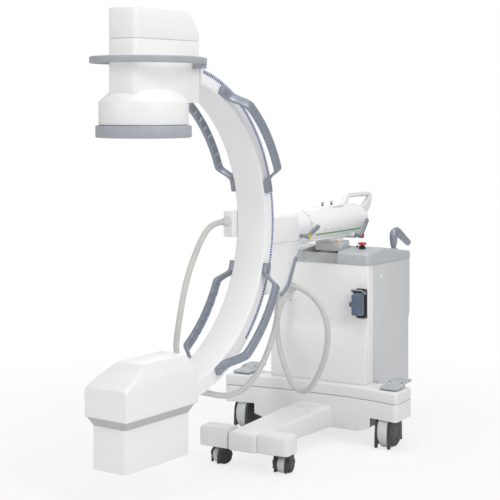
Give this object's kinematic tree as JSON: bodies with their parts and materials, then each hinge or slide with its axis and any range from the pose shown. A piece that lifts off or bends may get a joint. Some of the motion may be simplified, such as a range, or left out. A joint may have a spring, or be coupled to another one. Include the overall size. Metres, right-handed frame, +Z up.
{
  "type": "mobile c-arm x-ray machine",
  "caption": "Wheeled X-ray unit: a lifting column and a panning, sliding, rolling arm carry a C with detector and tube that orbits in a carriage.",
  "frame": {"origin": "centre of the bounding box at floor level, where the wheels stand", "axes": "+X forward, towards the C and along the leg; +Y to the machine's left, the side that the picture shows; +Z up"},
  "size_m": [1.9358, 0.837, 1.822],
  "materials": {
    "housing_white": "satin",
    "band_white": "powder coated",
    "arm_white": "powder coated",
    "cabinet_grey": "satin",
    "lid_grey": "satin",
    "base_white": "satin",
    "leg_white": "satin",
    "rail_grey": "satin paint",
    "ring_grey": "satin paint",
    "window_black": "matte",
    "collar_grey": "satin",
    "bare_steel": "brushed",
    "column_paint": "satin",
    "connector_grey": "powder coated",
    "connector_black": "matte",
    "scale_blue": "printed",
    "caster_dark": "matte",
    "tread_grey": "matte",
    "stop_red": "gloss",
    "lever_white": "gloss",
    "handle_grey": "satin",
    "hose_grey": "matte",
    "pedal_grey": "matte"
  },
  "bodies": {
    "base": {"base_skirt": "base_white", "base_top": "base_white", "leg": "leg_white", "leg_caps": "base_white", "front_cover": "cabinet_grey", "side_panels": "cabinet_grey", "rear_cover": "cabinet_grey", "cabinet_lid": "lid_grey", "column_plate": "bare_steel", "cover_screws": "bare_steel", "column_outer": "column_paint", "connector_base": "connector_black", "connector_hood": "connector_grey", "supply_gland": "cabinet_grey", "stop_button_base": "connector_black", "supply_hose": "hose_grey"},
    "mast": {"column_inner": "column_paint", "column_head": "column_paint"},
    "pan_arm": {"turntable": "arm_white", "arm_sleeve": "arm_white", "arm_scale": "scale_blue", "loop_handle": "handle_grey"},
    "reach": {"arm_tube": "bare_steel"},
    "head": {"roll_head": "arm_white", "carriage": "arm_white", "trailing_hose": "hose_grey"},
    "c_arm": {"c_band": "band_white", "c_scales": "scale_blue", "upper_rails": "rail_grey", "lower_rails": "rail_grey", "junction_box": "housing_white", "detector_ring": "ring_grey", "detector_window": "window_black", "detector_housing": "housing_white", "detector_top_cover": "housing_white", "detector_guard_rail": "rail_grey", "tube_case": "housing_white", "tube_collar": "collar_grey", "tube_hood": "housing_white", "tube_hose": "hose_grey"},
    "upper_roller": {"upper_roller": "bare_steel"},
    "lower_roller": {"lower_roller": "bare_steel"},
    "front_knob": {"front_knob": "connector_black"},
    "rear_knob": {"rear_knob": "connector_black"},
    "pan_lock_lever": {"pan_lock_lever": "lever_white"},
    "roll_lock_lever": {"roll_lock_lever": "lever_white"},
    "brake_bar": {"brake_bar": "rail_grey"},
    "connector_latch": {"connector_latch": "bare_steel"},
    "stop_button": {"stop_button": "stop_red"},
    "steering_handle": {"steering_handle": "handle_grey"},
    "left_pedal": {"left_pedal": "pedal_grey"},
    "right_pedal": {"right_pedal": "pedal_grey"},
    "left_rear_fork": {"left_rear_fork": "caster_dark"},
    "left_rear_wheel": {"left_rear_wheel": "tread_grey"},
    "left_front_fork": {"left_front_fork": "caster_dark"},
    "left_front_wheel": {"left_front_wheel": "tread_grey"},
    "right_rear_fork": {"right_rear_fork": "caster_dark"},
    "right_rear_wheel": {"right_rear_wheel": "tread_grey"},
    "right_front_fork": {"right_front_fork": "caster_dark"},
    "right_front_wheel": {"right_front_wheel": "tread_grey"}
  },
  "joints": [
    {"name": "lift", "type": "slide", "parent": "base", "child": "mast", "axis": [0, 0, 1], "range_m": [0, 0.4], "deforming": ["supply_hose"]},
    {"name": "pan", "type": "hinge", "parent": "mast", "child": "pan_arm", "pos_m": [-0.5569, 0, 0.848], "axis": [0, 0, 1], "range_deg": [-7, 18]},
    {"name": "reach_slide", "type": "slide", "parent": "pan_arm", "child": "reach", "axis": [0.9954, -0.0958, 0], "range_m": [0, 0.2]},
    {"name": "roll", "type": "hinge", "parent": "reach", "child": "head", "pos_m": [-0.29611, -0.02511, 0.93], "axis": [0.9954, -0.0958, 0], "range_deg": [-180, 180]},
    {"name": "orbit", "type": "hinge", "parent": "head", "child": "c_arm", "pos_m": [0.63758, -0.11502, 0.977], "axis": [0.0958, 0.9954, 0], "range_deg": [-60, 38], "deforming": ["trailing_hose"]},
    {"name": "upper_roller_spin", "type": "hinge", "parent": "head", "child": "upper_roller", "pos_m": [-0.01647, -0.05204, 0.93681], "axis": [0.0958, 0.9954, 0], "continuous": true},
    {"name": "lower_roller_spin", "type": "hinge", "parent": "head", "child": "lower_roller", "pos_m": [0.02583, -0.05611, 0.74109], "axis": [0.0958, 0.9954, 0], "continuous": true},
    {"name": "front_knob_turn", "type": "hinge", "parent": "pan_arm", "child": "front_knob", "pos_m": [-0.48424, -0.007, 1.009], "axis": [0, 0, 1], "range_deg": [-90, 90]},
    {"name": "rear_knob_turn", "type": "hinge", "parent": "pan_arm", "child": "rear_knob", "pos_m": [-0.55889, 0.00019, 1.009], "axis": [0, 0, 1], "range_deg": [-90, 90]},
    {"name": "pan_lock", "type": "hinge", "parent": "pan_arm", "child": "pan_lock_lever", "pos_m": [-0.63292, 0.10778, 0.869], "axis": [0.0958, 0.9954, 0], "range_deg": [-25, 25]},
    {"name": "roll_lock", "type": "hinge", "parent": "head", "child": "roll_lock_lever", "pos_m": [-0.19694, 0.0658, 0.902], "axis": [0.0958, 0.9954, 0], "range_deg": [-25, 25]},
    {"name": "orbit_brake", "type": "hinge", "parent": "head", "child": "brake_bar", "pos_m": [-0.15801, 0.03191, 0.812], "axis": [0.0958, 0.9954, 0], "range_deg": [-8, 8]},
    {"name": "latch_swing", "type": "hinge", "parent": "base", "child": "connector_latch", "pos_m": [-0.4289, 0.204, 0.642], "axis": [0, 1, 0], "range_deg": [-60, 0]},
    {"name": "stop_press", "type": "slide", "parent": "base", "child": "stop_button", "axis": [0, 0, -1], "range_m": [0, 0.004], "stiffness_N_per_m": 900},
    {"name": "steer", "type": "hinge", "parent": "base", "child": "steering_handle", "pos_m": [-0.7929, 0.2, 0.8], "axis": [0, 0, 1], "range_deg": [-45, 45]},
    {"name": "left_rear_steer", "type": "hinge", "parent": "base", "child": "left_rear_fork", "pos_m": [-0.4099, 0.345, 0.16], "axis": [0, 0, 1], "range_deg": [-45, 45]},
    {"name": "left_rear_roll", "type": "hinge", "parent": "left_rear_fork", "child": "left_rear_wheel", "pos_m": [-0.4099, 0.345, 0.074], "axis": [0, 1, 0], "continuous": true},
    {"name": "left_front_swivel", "type": "hinge", "parent": "base", "child": "left_front_fork", "pos_m": [0.1871, 0.149, 0.082], "axis": [0, 0, 1], "continuous": true},
    {"name": "left_front_roll", "type": "hinge", "parent": "left_front_fork", "child": "left_front_wheel", "pos_m": [0.16312, 0.14816, 0.035], "axis": [-0.0349, 0.9994, 0], "continuous": true},
    {"name": "left_pedal_rock", "type": "hinge", "parent": "base", "child": "left_pedal", "pos_m": [-0.4509, 0.36, 0.256], "axis": [0, 1, 0], "range_deg": [-9, 2.4]},
    {"name": "right_rear_steer", "type": "hinge", "parent": "base", "child": "right_rear_fork", "pos_m": [-0.4099, -0.345, 0.16], "axis": [0, 0, 1], "range_deg": [-45, 45]},
    {"name": "right_rear_roll", "type": "hinge", "parent": "right_rear_fork", "child": "right_rear_wheel", "pos_m": [-0.4099, -0.345, 0.074], "axis": [0, 1, 0], "continuous": true},
    {"name": "right_front_swivel", "type": "hinge", "parent": "base", "child": "right_front_fork", "pos_m": [0.1871, -0.149, 0.082], "axis": [0, 0, 1], "continuous": true},
    {"name": "right_front_roll", "type": "hinge", "parent": "right_front_fork", "child": "right_front_wheel", "pos_m": [0.16591, -0.13773, 0.035], "axis": [0.4695, 0.8829, 0], "continuous": true},
    {"name": "right_pedal_rock", "type": "hinge", "parent": "base", "child": "right_pedal", "pos_m": [-0.4509, -0.36, 0.256], "axis": [0, 1, 0], "range_deg": [-9, 2.4]}
  ],
  "couplings": [
    {"joint": "upper_roller_spin", "follows": "orbit", "ratio": -35.556},
    {"joint": "lower_roller_spin", "follows": "orbit", "ratio": -35.556},
    {"joint": "left_rear_steer", "follows": "steer", "ratio": 1},
    {"joint": "right_rear_steer", "follows": "steer", "ratio": 1},
    {"joint": "right_pedal_rock", "follows": "left_pedal_rock", "ratio": 1}
  ]
}
